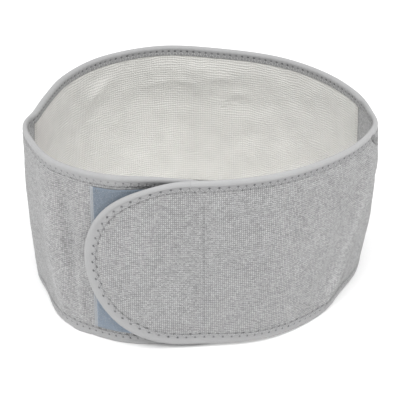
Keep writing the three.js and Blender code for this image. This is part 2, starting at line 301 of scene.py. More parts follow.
def place_in_strip(s, z):
    """Distance in from the strip's edge, and the stitch count there, for points of the strip."""
    s, z = np.broadcast_arrays(s, z)
    low = z < HALF
    inset = np.minimum(np.minimum(z, HEIGHT - z), STRIP_END - s)
    a = np.where(low, AT[1] + s - TAB_ROUND, AT[5] + CORNER_AT - s)
    turn = np.arctan2((z - HALF) / HALF, (s - TAB_ROUND) / TAB_ROUND)
    turn = np.where(turn < 0, turn + FULL_TURN, turn)
    radius = np.hypot((z - HALF) / HALF, (s - TAB_ROUND) / TAB_ROUND)
    on_round = s < TAB_ROUND
    near = np.hypot(TAB_ROUND * np.cos(turn), HALF * np.sin(turn))
    inset = np.where(on_round, (1 - radius) * near, inset)
    a = np.where(on_round, np.interp(turn, ROUND_TURNS, ROUND_LENGTHS), a)
    return inset, np.interp(np.mod(a, OUTLINE_LENGTH), STITCH_AT, STITCH_COUNTS)


def ripple(u, v, size, seed, count=9):
    """Soft irregular relief, roughly -1 to 1: seeded sine waves of about one length."""
    rng = np.random.default_rng(seed)
    total = 0.0
    for _ in range(count):
        turn, wave, phase = rng.uniform(0, FULL_TURN), size * rng.uniform(0.6, 1.6), rng.uniform(0, 6.3)
        total = total + np.sin((u * math.cos(turn) + v * math.sin(turn)) * FULL_TURN / wave + phase)
    return total / (1.3 * math.sqrt(count))


# Small creases: from (s, z) to (s, z), half width, height
SHELL_CREASES = [
    (769, 14, 770, 44, 2.2, 0.8), (789, 10, 788, 42, 2.0, 0.9), (753, 104, 781, 60, 5.0, 0.6),
    (737, 30, 779, 62, 5.0, 0.6), (300, 96, 286, 40, 8.0, 0.7), (655, 100, 668, 42, 9.0, 0.8),
    (120, 100, 150, 44, 12.0, 0.5), (60, 40, 96, 92, 14.0, 0.5), (160, 112, 176, 74, 9.0, -0.5),
]
LINING_CREASES = [
    (584, 103, 556, 118, 5.5, 2.6), (592, 118, 568, 129, 7.0, -0.9), (578, 92, 552, 98, 5.0, -1.0),
    (505, 119, 395, 120, 11.0, 1.1), (525, 91, 400, 89, 11.0, -1.4), (522, 104, 500, 108, 3.5, 1.0),
    (494, 108, 476, 106, 3.0, 1.1), (462, 112, 440, 114, 4.0, 1.1), (446, 100, 424, 98, 4.0, 1.0),
    (380, 100, 345, 124, 9.0, 0.8), (380, 60, 352, 96, 12.0, 0.7), (560, 40, 500, 30, 14.0, 0.6),
]


# Meshes


def give_map(mesh, label, uv):
    """Adds a map with one (u, v) for each point."""
    corner_points = np.empty(len(mesh.loops), dtype=np.int32)
    mesh.loops.foreach_get("vertex_index", corner_points)
    layer = mesh.uv_layers.new(name=label)
    layer.data.foreach_set("uv", np.asarray(uv, dtype=np.float32)[corner_points].ravel())


def smooth_object(name, mesh):
    mesh.polygons.foreach_set("use_smooth", np.full(len(mesh.polygons), True))
    piece = bpy.data.objects.new(name, mesh)
    bpy.context.scene.collection.objects.link(piece)
    return piece


def add_mesh(name, points, faces, maps):
    """Mesh object from millimetre points and quads. maps: name -> (u, v) at each point."""
    mesh = bpy.data.meshes.new(name)
    mesh.from_pydata((np.asarray(points) * MM).tolist(), [], np.asarray(faces).tolist())
    for label, uv in maps.items():
        give_map(mesh, label, uv)
    work = bmesh.new()
    work.from_mesh(mesh)
    bmesh.ops.recalc_face_normals(work, faces=work.faces)
    work.to_mesh(mesh)
    work.free()
    mesh.validate()
    return smooth_object(name, mesh)


def grid_faces(rows, columns, first=0, wrap_rows=False, wrap_columns=False):
    """Quads of a grid whose points are numbered row by row."""
    r = np.arange(rows if wrap_rows else rows - 1)
    c = np.arange(columns if wrap_columns else columns - 1)
    r, c = (a.ravel() for a in np.meshgrid(r, c, indexing="ij"))
    r2, c2 = (r + 1) % rows, (c + 1) % columns
    return first + np.stack(
        [r * columns + c, r2 * columns + c, r2 * columns + c2, r * columns + c2], axis=1
    )


def panel(name, s, z, outer, inner, maps, inner_maps=None):
    """Closed sheet of cloth. s and z are grids, outer and inner its faces' offsets."""
    inner_maps = inner_maps or maps
    rows, columns = s.shape
    count = rows * columns
    points = np.concatenate([wall(s, z, outer).reshape(-1, 3), wall(s, z, inner).reshape(-1, 3)])
    ids = np.arange(count).reshape(rows, columns)
    rim = np.concatenate([ids[0, :-1], ids[:-1, -1], ids[-1, :0:-1], ids[:0:-1, 0]])
    after = np.roll(rim, -1)
    faces = np.concatenate([
        grid_faces(rows, columns),
        grid_faces(rows, columns, count),
        np.stack([rim, after, after + count, rim + count], axis=1),
    ])
    doubled = {}
    for label in maps:
        sides = (maps[label], inner_maps[label])
        doubled[label] = np.concatenate([np.stack([u.ravel(), v.ravel()], axis=1) for u, v in sides])
    return add_mesh(name, points, faces, doubled)


def tubes(name, paths, radius, sides=6):
    """Threads: paths is an array (threads, points, 3) in millimetres. Ends are closed to a point."""
    count, length = paths.shape[:2]
    along = np.gradient(paths, axis=1)
    along /= np.linalg.norm(along, axis=2, keepdims=True) + 1e-9
    up = np.array([0.0, 0.0, 1.0])
    side = np.cross(along, up)
    small = np.linalg.norm(side, axis=2, keepdims=True)
    side = np.where(small < 0.05, np.array([1.0, 0, 0]), side / (small + 1e-9))
    third = np.cross(along, side)
    turn = np.arange(sides) / sides * FULL_TURN
    share = np.linspace(0, 1, length)
    taper = np.clip(np.sin(math.pi * share) * 4, 0.12, 1)[None, :, None, None] * radius
    ring = (
        side[:, :, None, :] * np.cos(turn)[None, None, :, None]
        + third[:, :, None, :] * np.sin(turn)[None, None, :, None]
    )
    points = (paths[:, :, None, :] + ring * taper).reshape(-1, 3)
    block = grid_faces(length, sides, wrap_columns=True)
    starts = np.arange(count) * length * sides
    faces = (block[None] + starts[:, None, None]).reshape(-1, 4).tolist()
    cap = np.arange(sides)
    for start in starts.tolist():
        faces.append((start + cap[::-1]).tolist())
        faces.append((start + (length - 1) * sides + cap).tolist())
    u = np.broadcast_to((share * 4)[None, :, None], (count, length, sides))
    v = np.broadcast_to((turn / FULL_TURN)[None, None, :], (count, length, sides))
    mesh = bpy.data.meshes.new(name)
    mesh.from_pydata((points * MM).tolist(), [], faces)
    give_map(mesh, "thread", np.stack([u.ravel(), v.ravel()], axis=1))
    return smooth_object(name, mesh)


# Section of the binding tape: inset from the edge and height over the face that it lies on
OUTER_TAPE = np.array([
    (9.3, 0.30), (9.4, 0.40), (9.3, 0.52), (8.9, 0.60), (8.3, 0.62), (7.6, 0.60), (6.9, 0.58),
    (6.2, 0.60), (5.5, 0.66), (4.8, 0.76), (4.1, 0.88), (3.3, 0.97), (2.4, 1.0),
])
INNER_TAPE = np.array([
    (8.3, 0.30), (8.42, 0.42), (8.3, 0.56), (7.8, 0.64), (7.0, 0.66), (6.1, 0.64), (5.2, 0.60),
    (4.5, 0.58), (3.9, 0.66), (3.3, 0.82), (2.8, 0.95), (2.4, 1.0),
])
# Insets of the stitches' points on the tape, of its edge, and of their points in the cloth
OUTER_NEEDLE = 6.9
OUTER_LIP = 9.4
OUTER_LOWER = 9.9
INNER_NEEDLE = 4.5
INNER_LIP = 8.4
INNER_LOWER = 8.9

# How far the tape presses the cloth in, and how much narrower its legs are in places
PRESSED = 0.3
TRIM = 1.5
TIP_TRIM = 1.0
INNER_TRIM = 2.0

# The roll over the strip's edge, and the gap between tape and cloth
ROLL_STEPS = 9
ROLL_INSET = 2.4
UNDER_GAP = 0.26


def tape_trim(s, z):
    """How much narrower the tape's outer leg is than on the tab's lower half."""
    trim = TRIM * (1 - smooth((120 - s) / 40) * smooth((118 - z) / 36))
    return trim + TIP_TRIM * np.exp(-(((s - 48) / 30) ** 2)) * smooth((z - 95) / 30)


def inner_trim(z):
    """How much narrower the tape's inner leg is at the foot than at the rim."""
    return INNER_TRIM * (1 - smooth((z - 20) / 40))


def leg_share(inset):
    """0 at the tape's roll, 1 from the middle of its leg on."""
    return smooth((inset - 2.8) / 3.2)


def backing(s):
    """Offset of the face that the tape's inner leg lies on: the lining where there is one."""
    covered = smooth((s - LINING_START) / 9.5 + 1)
    left = smooth((LINING_END - s) / 9.5 + 1)
    return SHELL_HALF + (LINING_FACE - SHELL_HALF) * np.minimum(covered, left)


def puff(inset):
    """How far the knitted cloth stands up beside the tape that presses it down."""
    return 0.28 + 0.25 * smooth((inset - 11) / 14)


def shell_relief(s, z):
    """Height over the shell's face: bulges, creases, gathers at the stitches and needle dips."""
    inset, count = place_in_strip(s, z)
    inset = inset + tape_trim(s, z)
    free = smooth((inset - 10) / 12)
    relief = puff(inset) * smooth((inset - 8.4) / 1.4)
    relief = relief + free * (0.30 * ripple(s, z * 0.7, 34, 3) + 0.16 * ripple(s, z, 13, 4))
    relief = relief + creases(s, z, SHELL_CREASES) * smooth((inset - 6) / 5)
    gather = np.sin(FULL_TURN * (count - 0.5))
    pull = np.exp(-(((inset - 12.5) / 4.0) ** 2))
    relief = relief + 0.10 * gather * pull
    relief = relief + 0.22 * ripple(s, 0 * z, 17, 6) * np.exp(-(((inset - 15) / 7) ** 2))
    needle = np.abs(np.mod(count, 1) - 0.5) * STITCH_ELSEWHERE
    relief = relief - 0.6 * np.exp(-((needle / 0.9) ** 2) - (((inset - OUTER_LOWER) / 0.8) ** 2))
    return relief


def half_height(s, inset):
    """Half the strip's height at s, drawn inset from its edge."""
    along = np.clip((TAB_ROUND - s) / (TAB_ROUND - inset), 0, 1)
    tab = (HALF - inset) * np.sqrt(1 - along**2)
    radius = max(UNDER_CORNER - inset, 0.001)
    into = np.clip((s - CORNER_AT) / radius, 0, 1)
    return np.minimum(tab, HALF - inset - radius * (1 - np.sqrt(1 - into**2)))


# The columns lie closer together round the sharp crease in the rim
NOTCH_FROM = 224.0
NOTCH_TO = 258.0
NOTCH_STEP = 0.8
COLUMN_STEP = 1.75


def strip_columns(inset, last):
    """Places along the strip, closer together on the round end."""
    turns = np.linspace(0.10, math.pi / 2, 46)
    rounded = TAB_ROUND - (TAB_ROUND - inset) * np.cos(turns)
    straight = np.arange(TAB_ROUND + COLUMN_STEP, last, COLUMN_STEP)
    corner = CORNER_AT + (last - CORNER_AT) * np.sin(np.linspace(0.05, 1, 9) * math.pi / 2)
    close = np.arange(NOTCH_FROM, NOTCH_TO, NOTCH_STEP)
    straight = straight[(straight < CORNER_AT) & ((straight < NOTCH_FROM) | (straight > NOTCH_TO))]
    straight = np.sort(np.concatenate([straight, close]))
    return np.concatenate([rounded, straight, corner])


def row_shares(count, crowd):
    """Shares of the height, closer together at both edges."""
    t = np.linspace(0, 1, count)
    return t - crowd * np.sin(FULL_TURN * t) / FULL_TURN


# Added to the inset in the map of the shell's inner side, to tell the sides apart
INNER_SIDE = 200.0


def make_shell():
    """The knitted strip. Its outside bulges, but stays flat where the tab lies on it."""
    inset = TAPE_THICKNESS + CLEARANCE
    s = strip_columns(inset, STRIP_END - inset)
    half = half_height(s, inset)
    share = row_shares(66, 0.45)
    s_grid = np.repeat(s[:, None], len(share), axis=1)
    z_grid = HALF + half[:, None] * (2 * share[None, :] - 1)
    relief = shell_relief(s_grid, z_grid)
    in_depth, count = place_in_strip(s_grid, z_grid)
    in_depth = in_depth + tape_trim(s_grid, z_grid)
    pressed = PRESSED * (1 - smooth((in_depth - 8.6) / 2))
    under = smooth((s_grid - LOOP_LENGTH + 2) / 6)
    outer = SHELL_HALF - pressed + relief * (1 - under) + np.minimum(relief, 0.1) * under
    return panel(
        "shell_cloth", s_grid, z_grid, outer, -SHELL_HALF + pressed,
        {"cloth": (s_grid, z_grid), "edge": (count, in_depth)},
        {"cloth": (s_grid, z_grid), "edge": (count, in_depth + INNER_SIDE)},
    )


def lining_relief(s, z):
    """Height over the lining's face: bulges and creases, dying away at its edges."""
    inset = np.minimum(z, HEIGHT - z)
    free = smooth((inset - 7) / 14)
    side = np.minimum(s - LINING_START, LINING_END - s)
    free = free * (0.25 + 0.75 * smooth(side / 10))
    relief = 0.25 * smooth((inset - 7) / 9) * smooth(side / 5)
    relief = relief + free * (0.38 * ripple(s, z * 1.3, 46, 21) + 0.16 * ripple(s, z, 17, 22))
    relief = relief + free * creases(s, z, LINING_CREASES)
    return relief


def make_lining():
    """The ribbed panel, thinner at its hems, whose ends wander a little."""
    hem_steps = np.array([0, 0.25, 0.7, 1.4])
    middle = np.linspace(LINING_START + 2.5, LINING_END - 2.5, 232)
    s = np.concatenate([LINING_START + hem_steps, middle, LINING_END - hem_steps[::-1]])
    z = LINING_TUCK + (HEIGHT - 2 * LINING_TUCK) * row_shares(74, 0.3)
    s_grid, z_grid = np.meshgrid(s, z, indexing="ij")
    face = -(SHELL_HALF + CLEARANCE)
    side = np.minimum(s_grid - LINING_START, LINING_END - s_grid)
    hem = 0.2 + 0.8 * smooth(side / 3.0)
    laid = face + 0.2 * (1 - smooth(side / 3.0))
    deep = np.minimum(z_grid, HEIGHT - z_grid)
    pressed = PRESSED * (1 - smooth((deep - 8.0) / 2))
    inner = laid - LINING_THICKNESS * hem - lining_relief(s_grid, z_grid) + pressed
    start_wave = 1.8 + 1.1 * ripple(0 * z_grid, z_grid, 70, 41)
    end_wave = 0.8 * ripple(0 * z_grid, z_grid, 60, 43)
    s_edge = s_grid + start_wave * np.exp((LINING_START - s_grid) / 12)
    s_edge = s_edge + end_wave * np.exp((s_grid - LINING_END) / 12)
    return panel(
        "lining_cloth", s_edge, z_grid, laid, inner,
        {"cloth": (s_grid, z_grid), "edge": (side, deep)},
    )


def tape_section(s, z, dip):
    """Closed section of the tape at each place: insets, offsets and places across the tape.

    Each is an array (places, points). Across the tape, its outer leg counts up from the strip's
    edge, and its inner leg down.
    """
    outer_face = np.full_like(s, SHELL_HALF - PRESSED)[:, None]
    inner_face = backing(s)[:, None] - PRESSED
    outer_d = np.broadcast_to(OUTER_TAPE[:, 0], (len(s), len(OUTER_TAPE)))
    outer_n = outer_face + OUTER_TAPE[:, 1]
    inner_d = np.broadcast_to(INNER_TAPE[:, 0], (len(s), len(INNER_TAPE)))
    inner_n = -(inner_face + INNER_TAPE[:, 1])
    turn = np.linspace(0, math.pi, ROLL_STEPS + 2)[1:-1]
    top, bottom = outer_n[:, -1:], inner_n[:, -1:]
    roll_n = (top + bottom) / 2 + (top - bottom) / 2 * np.cos(turn)
    roll_d = ROLL_INSET - ROLL_INSET * np.sin(turn) + 0 * top
    outer_n = outer_n - dip[:, None] * np.exp(-(((outer_d - OUTER_NEEDLE) / 0.75) ** 2))
    inner_n = inner_n + dip[:, None] * np.exp(-(((inner_d - INNER_NEEDLE) / 0.75) ** 2))
    trim = tape_trim(s, z)[:, None]
    outer_d = outer_d - trim * leg_share(outer_d)
    trim_in = inner_trim(z)[:, None]
    inner_d = inner_d - trim_in * leg_share(inner_d)
    low_out = outer_face + UNDER_GAP
    low_in = -(inner_face + UNDER_GAP)
    under_d = np.array([7.9, 4.6, 0.9, 0.9, 4.6, 8.9])
    under_d = under_d - trim * np.array([0, 0, 0, 0, 0, 1]) - trim_in * np.array([1, 0, 0, 0, 0, 0])
    under_n = np.concatenate([low_in, low_in, low_in, low_out, low_out, low_out], axis=1)
    under_n = np.where(np.isclose(under_d, 4.6), under_n * 0.97, under_n)
    d = np.concatenate([outer_d, roll_d, inner_d[:, ::-1], under_d], axis=1)
    n = np.concatenate([outer_n, roll_n, inner_n[:, ::-1], under_n], axis=1)
    side = np.concatenate([
        outer_d + trim * leg_share(OUTER_TAPE[:, 0]),
        ROLL_INSET - (turn / math.pi) * 2 * ROLL_INSET + 0 * top,
        0 * top - INNER_TAPE[::-1, 0],
        0 * under_d,
    ], axis=1)
    return d, n, side


def make_binding():
    """The tape, carried once round the outline, pulled in at each stitch."""
    a = np.linspace(0, OUTLINE_LENGTH, int(OUTLINE_LENGTH / ROUTE_STEP), endpoint=False)
    s, z, ds, dz = outline(a)
    count = np.interp(a, STITCH_AT, STITCH_COUNTS)
    off = np.minimum(np.mod(count, 1), 1 - np.mod(count, 1)) * STITCH_ELSEWHERE
    dip = 0.24 * np.exp(-((off / 0.85) ** 2))
    d, n, side = tape_section(s, z, dip)
    gathered = 0.035 * np.cos(FULL_TURN * (count - 0.5))[:, None]
    swell = 1 + gathered + 0.03 * ripple(a, 0 * a, 23, 9)[:, None]
    n = n * np.where(np.abs(side) < 6, swell, 1)
    d = d + 0.10 * ripple(a, 0 * a, 31, 11)[:, None] * (np.abs(side) > 7)
    points = wall(s[:, None] - d * ds[:, None], z[:, None] - d * dz[:, None], n)
    rows, columns = d.shape
    faces = grid_faces(rows, columns, wrap_rows=True, wrap_columns=True)
    maps = {
        label: np.stack([np.repeat(values, columns), side.ravel()], axis=1)
        for label, values in (("edge", count), ("cloth", a))
    }
    return add_mesh("binding_tape", points.reshape(-1, 3), faces, maps)


def surface_height(inset, tape, lip):
    """Height over the face at an inset: the tape up to its edge, then the cloth beside it."""
    order = np.argsort(tape[3:, 0])
    on_tape = np.interp(inset, tape[3:, 0][order], tape[3:, 1][order])
    return np.where(inset < lip, on_tape, 0.25 * np.exp(-(inset - lip) * 2))


# Share of a leg that is hidden in the cloth at each end
LEG_START = 0.15


def stitch_paths(outer):
    """Zigzag thread legs on one side of the strip: (legs, points, 3)."""
    if outer:
        upper, lower, lip = OUTER_NEEDLE, OUTER_LOWER, OUTER_LIP
    else:
        upper, lower, lip = INNER_NEEDLE, INNER_LOWER, INNER_LIP
    tape = OUTER_TAPE if outer else INNER_TAPE
    t = np.linspace(LEG_START, 1 - LEG_START, 9)[None, :]
    legs = np.arange(STITCHES * 2)[:, None]
    start_up = legs % 2 == 0
    count = legs / 2 + t * 0.5
    inset = np.where(start_up, upper + (lower - upper) * t, lower + (upper - lower) * t)
    a = np.interp(count, STITCH_COUNTS, STITCH_AT)
    s, z, ds, dz = (g.reshape(a.shape) for g in outline(a.ravel()))
    arch = np.sin(math.pi * (t - LEG_START) / (1 - 2 * LEG_START)).clip(0) ** 0.5
    height = surface_height(inset, tape, lip) + 0.30 * arch - 0.12 - PRESSED
    inset = inset - (tape_trim(s, z) if outer else inner_trim(z))
    s, z = s - inset * ds, z - inset * dz
    if outer:
        return wall(s, z, SHELL_HALF + height)
    return wall(s, z, -(backing(s) + height))


# Loop patch: where it starts, its distance from the strip's edges, the width of its bare hem, and
# how far in the hem is stitched
PATCH_START = LOOP_LENGTH + 3.6
PATCH_MARGIN = 10.5
PATCH_HEM = 3.2
PATCH_SEAM = 1.3
PATCH_HEM_THICKNESS = 0.55


def make_loop_patch():
    """The patch's ground: a flat hem, then rough pile that thins out at its edges."""
    first, last = PATCH_START, CORNER_AT
    s = np.concatenate([np.linspace(first, first + 6, 9)[:-1], np.arange(first + 6, last, 0.95)])
    z = np.linspace(PATCH_MARGIN, HEIGHT - PATCH_MARGIN, 128)
    s_grid, z_grid = np.meshgrid(s, z, indexing="ij")
    rng = np.random.default_rng(5)
    pile = smooth((s_grid - first - 2.3) / 1.0)
    rough = rng.normal(0, 0.13, s_grid.shape)
    edge = smooth(np.minimum(z_grid - PATCH_MARGIN, HEIGHT - PATCH_MARGIN - z_grid) / 1.5)
    standing = 0.75 + 0.15 * ripple(s_grid, z_grid, 7, 31) + rough
    height = PATCH_HEM_THICKNESS + pile * standing * (0.4 + 0.6 * edge)
    base = SHELL_HALF + CLEARANCE
    return panel(
        "loop_pile", s_grid, z_grid, base + np.clip(height, 0.4, 1.55), base + 0 * height,
        {"cloth": (s_grid - first, z_grid)},
    )


def loop_fibres(count=5200):
    """Single loops that stand out of the pile: (loops, points, 3)."""
    rng = np.random.default_rng(12)
    margin = PATCH_MARGIN + 0.7
    s = rng.uniform(PATCH_START + PATCH_HEM, CORNER_AT - 0.6, count)[:, None]
    z = rng.uniform(margin, HEIGHT - margin, count)[:, None]
    turn = rng.uniform(0, FULL_TURN, count)[:, None]
    width = rng.uniform(0.35, 0.75, count)[:, None]
    high = rng.uniform(0.25, 0.55, count)[:, None]
    t = np.linspace(0, 1, 5)[None, :]
    across = (t - 0.5) * 2 * width
    height = SHELL_HALF + CLEARANCE + 1.05 + high * np.sin(math.pi * t)
    height = np.minimum(height, SHELL_HALF + CLEARANCE + 1.75)
    return wall(s + across * np.cos(turn), z + across * np.sin(turn), height)


def run_stitches(points_s, points_z, face, pitch, lift):
    """Straight stitches along a line in the strip: thread legs (legs, points, 3)."""
    length = np.concatenate([[0], np.cumsum(np.hypot(np.diff(points_s), np.diff(points_z)))])
    starts = np.arange(0, length[-1] - pitch, pitch)[:, None]
    t = np.linspace(0, 1, 7)[None, :]
    place = starts + 0.08 * pitch + t * 0.84 * pitch
    s = np.interp(place, length, points_s)
    z = np.interp(place, length, points_z)
    return wall(s, z, face + lift * np.sin(math.pi * t) ** 0.5 - 0.12)


# Hook patch: its distance from the tab's edge, and its length
HOOK_INSET = 14.0
HOOK_LENGTH = 52.0


def make_hook_patch():
    """The plain patch inside the tab, with a round end."""
    turns = np.linspace(0.12, math.pi / 2, 30)
    end = HOOK_INSET + HOOK_LENGTH
    s = TAB_ROUND - (TAB_ROUND - HOOK_INSET) * np.cos(turns)
    s = np.concatenate([s[s < end], [end]])
    half = half_height(s, HOOK_INSET)
    share = np.linspace(0, 1, 60)
    s_grid = np.repeat(s[:, None], len(share), axis=1)
    z_grid = HALF + half[:, None] * (2 * share[None, :] - 1)
    face = -(SHELL_HALF + CLEARANCE)
    rim = smooth((half[:, None] - np.abs(z_grid - HALF)) / 1.5)
    thick = 0.9 + 0.5 * rim
    return panel(
        "hook_tape", s_grid, z_grid, face + 0 * z_grid, face - thick, {"cloth": (s_grid, z_grid)}
    )


# Materials


class Look:
    """A material's node tree, built with short calls that return output sockets."""

    def __init__(self, name):
        self.material = bpy.data.materials.new(name)
        self.material.use_nodes = True
        self.tree = self.material.node_tree
        self.tree.nodes.clear()
        self.shader = self.tree.nodes.new("ShaderNodeBsdfPrincipled")
        output = self.tree.nodes.new("ShaderNodeOutputMaterial")
        self.tree.links.new(self.shader.outputs["BSDF"], output.inputs["Surface"])

    def plug(self, socket, value):
        if isinstance(value, bpy.types.NodeSocket):
            self.tree.links.new(value, socket)
        else:
            socket.default_value = value

    def map(self, label):
        node = self.tree.nodes.new("ShaderNodeUVMap")
        node.uv_map = label
        return node.outputs["UV"]

    def parts(self, vector):
        node = self.tree.nodes.new("ShaderNodeSeparateXYZ")
        self.plug(node.inputs[0], vector)
        return node.outputs[0], node.outputs[1]

    def vector(self, x, y, z=0.0):
        node = self.tree.nodes.new("ShaderNodeCombineXYZ")
        for socket, value in zip(node.inputs, (x, y, z)):
            self.plug(socket, value)
        return node.outputs[0]

    def math(self, operation, a, b=0.0, c=0.0):
        node = self.tree.nodes.new("ShaderNodeMath")
        node.operation = operation
        for socket, value in zip(node.inputs, (a, b, c)):
            self.plug(socket, value)
        return node.outputs[0]

    def wave(self, value, length):
        """Rises from 0 to 1 and falls back over each length of the value."""
        return self.math("ABSOLUTE", self.math("SINE", self.math("MULTIPLY", value, math.pi / length)))

    def gap(self, a, b):
        return self.math("ABSOLUTE", self.math("SUBTRACT", a, b))

    def reach(self, a, b):
        """Straight distance from two that are square to each other."""
        squares = (self.math("MULTIPLY", value, value) for value in (a, b))
        return self.math("SQRT", self.math("ADD", *squares))

    def weigh(self, total, *parts):
        """A number plus each value times its share."""
        for value, share in parts:
            total = self.math("ADD", total, self.math("MULTIPLY", value, share))
        return total

    def stretched(self, u, along, v, up):
        """Vector of two measures, each times its own factor."""
        return self.vector(self.math("MULTIPLY", u, along), self.math("MULTIPLY", v, up))

    def ramp(self, value, low, high, out_low=0.0, out_high=1.0):
        node = self.tree.nodes.new("ShaderNodeMapRange")
        node.interpolation_type = "SMOOTHSTEP"
        for socket, item in zip(node.inputs, (value, low, high, out_low, out_high)):
            self.plug(socket, item)
        return node.outputs[0]

    def noise(self, vector, scale, detail=2.0, roughness=0.5):
        node = self.tree.nodes.new("ShaderNodeTexNoise")
        self.plug(node.inputs["Vector"], vector)
        for label, value in (("Scale", scale), ("Detail", detail), ("Roughness", roughness)):
            node.inputs[label].default_value = value
        return node.outputs["Fac"]

    def speckle(self, vector):
        node = self.tree.nodes.new("ShaderNodeTexWhiteNoise")
        node.noise_dimensions = "2D"
        self.plug(node.inputs["Vector"], vector)
        return node.outputs["Value"]

    def mix(self, share, a, b, blend="MIX"):
        node = self.tree.nodes.new("ShaderNodeMix")
        node.data_type = "RGBA"
        node.blend_type = blend
        self.plug(node.inputs[0], share)
        self.plug(node.inputs[6], a)
        self.plug(node.inputs[7], b)
        return node.outputs[2]

    def shade(self, colour, factor):
        """The colour times a factor that varies over the surface."""
        return self.mix(1.0, colour, self.vector(factor, factor, factor), "MULTIPLY")

    def bump(self, height, distance, strength=1.0, below=None):
        node = self.tree.nodes.new("ShaderNodeBump")
        node.inputs["Distance"].default_value = distance * MM
        node.inputs["Strength"].default_value = strength
        self.plug(node.inputs["Height"], height)
        if below is not None:
            self.plug(node.inputs["Normal"], below)
        return node.outputs["Normal"]

    def finish(self, colour, normal, **constants):
        self.plug(self.shader.inputs["Base Color"], colour)
        if normal is not None:
            self.plug(self.shader.inputs["Normal"], normal)
        for label, value in constants.items():
            self.shader.inputs[label.replace("_", " ")].default_value = value
        return self.material


def knit_height(look, u, v, wale, course):
    """Rows of V-shaped loops: wale is the loop's width, course its height."""
    across = look.math("DIVIDE", u, wale)
    lean = look.gap(look.math("FRACT", across), 0.5)
    rows = look.math("ADD", look.math("DIVIDE", v, course), look.math("MULTIPLY", lean, 0.6))
    groove = look.math("POWER", look.wave(across, 1.0), 0.65)
    return look.math("MULTIPLY", groove, look.math("ADD", 0.22, look.wave(rows, 1.0)))


def stitched_shadow(look, count, inset, v, lip, lower):
    """Painted shade in the needle holes, whose dips are also shaped, and painted shadow along the
    tape's edge, stronger towards the top, 0 to 1.
    """
    phase = look.gap(look.math("FRACT", count), 0.5)
    near = look.math("MULTIPLY", phase, STITCH_ELSEWHERE)
    from_needle = look.reach(near, look.math("SUBTRACT", inset, lower))
    speckle = look.speckle(look.vector(look.math("FLOOR", count), 5.0))
    uneven = look.ramp(speckle, 0.0, 1.0, 0.5, 1.0)
    hole = look.math("MULTIPLY", look.ramp(from_needle, 0.35, 1.10, 1.0, 0.0), uneven)
    line = look.ramp(look.gap(inset, lip + 0.2), 0.1, 0.7, 1.0, 0.0)
    weight = look.ramp(v, 96.0, 124.0, 0.16, 0.38)
    return look.math("MAXIMUM", hole, look.math("MULTIPLY", line, weight))


# Lines of painted light and shade along folds, where the cloth is painted paler or darker: from (s, z)
# down to (s, z), half width, share
FOLD_SHADING = [
    (745, 124, 759, 24, 13.0, 0.090), (771, 124, 779, 46, 9.0, -0.080), (228, 96, 187, 12, 6.5, 0.170),
    (243, 62, 206, 6, 5.5, -0.140), (196, 96, 206, 60, 7.0, -0.060), (172, 112, 174, 66, 10.0, 0.060),
    (783, 56, 786, 10, 2.6, 0.150), (758, 48, 762, 18, 2.6, 0.110), (235, 135, 252, 121, 2.4, -0.50),
    (84.5, 124, 85, 18, 1.0, -0.19),
]


def fold_shading(look, u, v):
    """Factor of painted light and shade for the colour along the folds, 1 away from them."""
    factor = 1.0
    for s0, z0, s1, z1, width, share in FOLD_SHADING:
        slope = (s1 - s0) / (z1 - z0)
        middle = look.math("MULTIPLY_ADD", v, slope, s0 - slope * z0)
        line = look.ramp(look.gap(u, middle), 0.0, width, share, 0.0)
        above = look.ramp(v, z1 - 10, z1 + 12)
        below = look.ramp(v, z0 - 12, z0 + 10, 1.0, 0.0)
        held = look.math("MULTIPLY", above, below)
        factor = look.math("ADD", factor, look.math("MULTIPLY", line, held))
    return factor


def shell_look():
    """Heathered knit: each stitch has its own grey, in flecks, streaks and clouds."""
    look = Look("shell_knit_look")
    cloth = look.map("cloth")
    u, v = look.parts(cloth)
    count, inset = look.parts(look.map("edge"))
    wale, course = 1.40, 1.62
    column = look.math("FLOOR", look.math("DIVIDE", u, wale))
    row = look.math("FLOOR", look.math("DIVIDE", v, course / 2))
    yarn = look.speckle(look.vector(column, row))
    fleck = look.noise(look.stretched(u, 0.6, v, 1.5), 0.8, 3.0, 0.65)
    cloud = look.noise(cloth, 0.16, 2.0)
    wide = look.noise(cloth, 0.035, 2.0)
    streak = look.noise(look.vector(look.math("MULTIPLY", u, 0.22), v), 0.9, 2.0, 0.6)
    factor = look.weigh(0.06, (yarn, 0.54), (fleck, 0.50), (streak, 0.44), (cloud, 0.34), (wide, 0.25))
    usual = 1.095
    contrast = look.ramp(u, 90.0, 190.0, 0.80, 1.0)
    factor = look.math("MULTIPLY_ADD", look.math("SUBTRACT", factor, usual), contrast, usual)
    # Painted light and shade along the folds
    factor = look.math("MULTIPLY", factor, fold_shading(look, u, v))
    # Painted light: the shell's inner side is 22 % paler, against the shade inside the ring
    inside = look.ramp(inset, INNER_SIDE * 0.5, INNER_SIDE * 0.75, 1.0, 1.22)
    factor = look.math("MULTIPLY", factor, inside)
    colour = look.shade((0.325, 0.325, 0.327, 1), factor)
    # Painted shade in the needle holes and painted shadow along the tape's edge
    dark = stitched_shadow(look, count, inset, v, OUTER_LIP, OUTER_LOWER)
    height = knit_height(look, u, v, wale, course)
    # Painted shade: the knit is darker in the grooves between its loops
    colour = look.shade(colour, look.weigh(0.58, (height, 0.56)))
    colour = look.mix(look.math("MULTIPLY", dark, 0.8), colour, (0.09, 0.09, 0.095, 1))
    normal = look.bump(height, 0.42, 1.0)
    normal = look.bump(fleck, 0.6, 0.5, normal)
    return look.finish(
        colour, normal, Roughness=0.93, Sheen_Weight=0.22, Sheen_Roughness=0.55, Specular_IOR_Level=0.2
    )


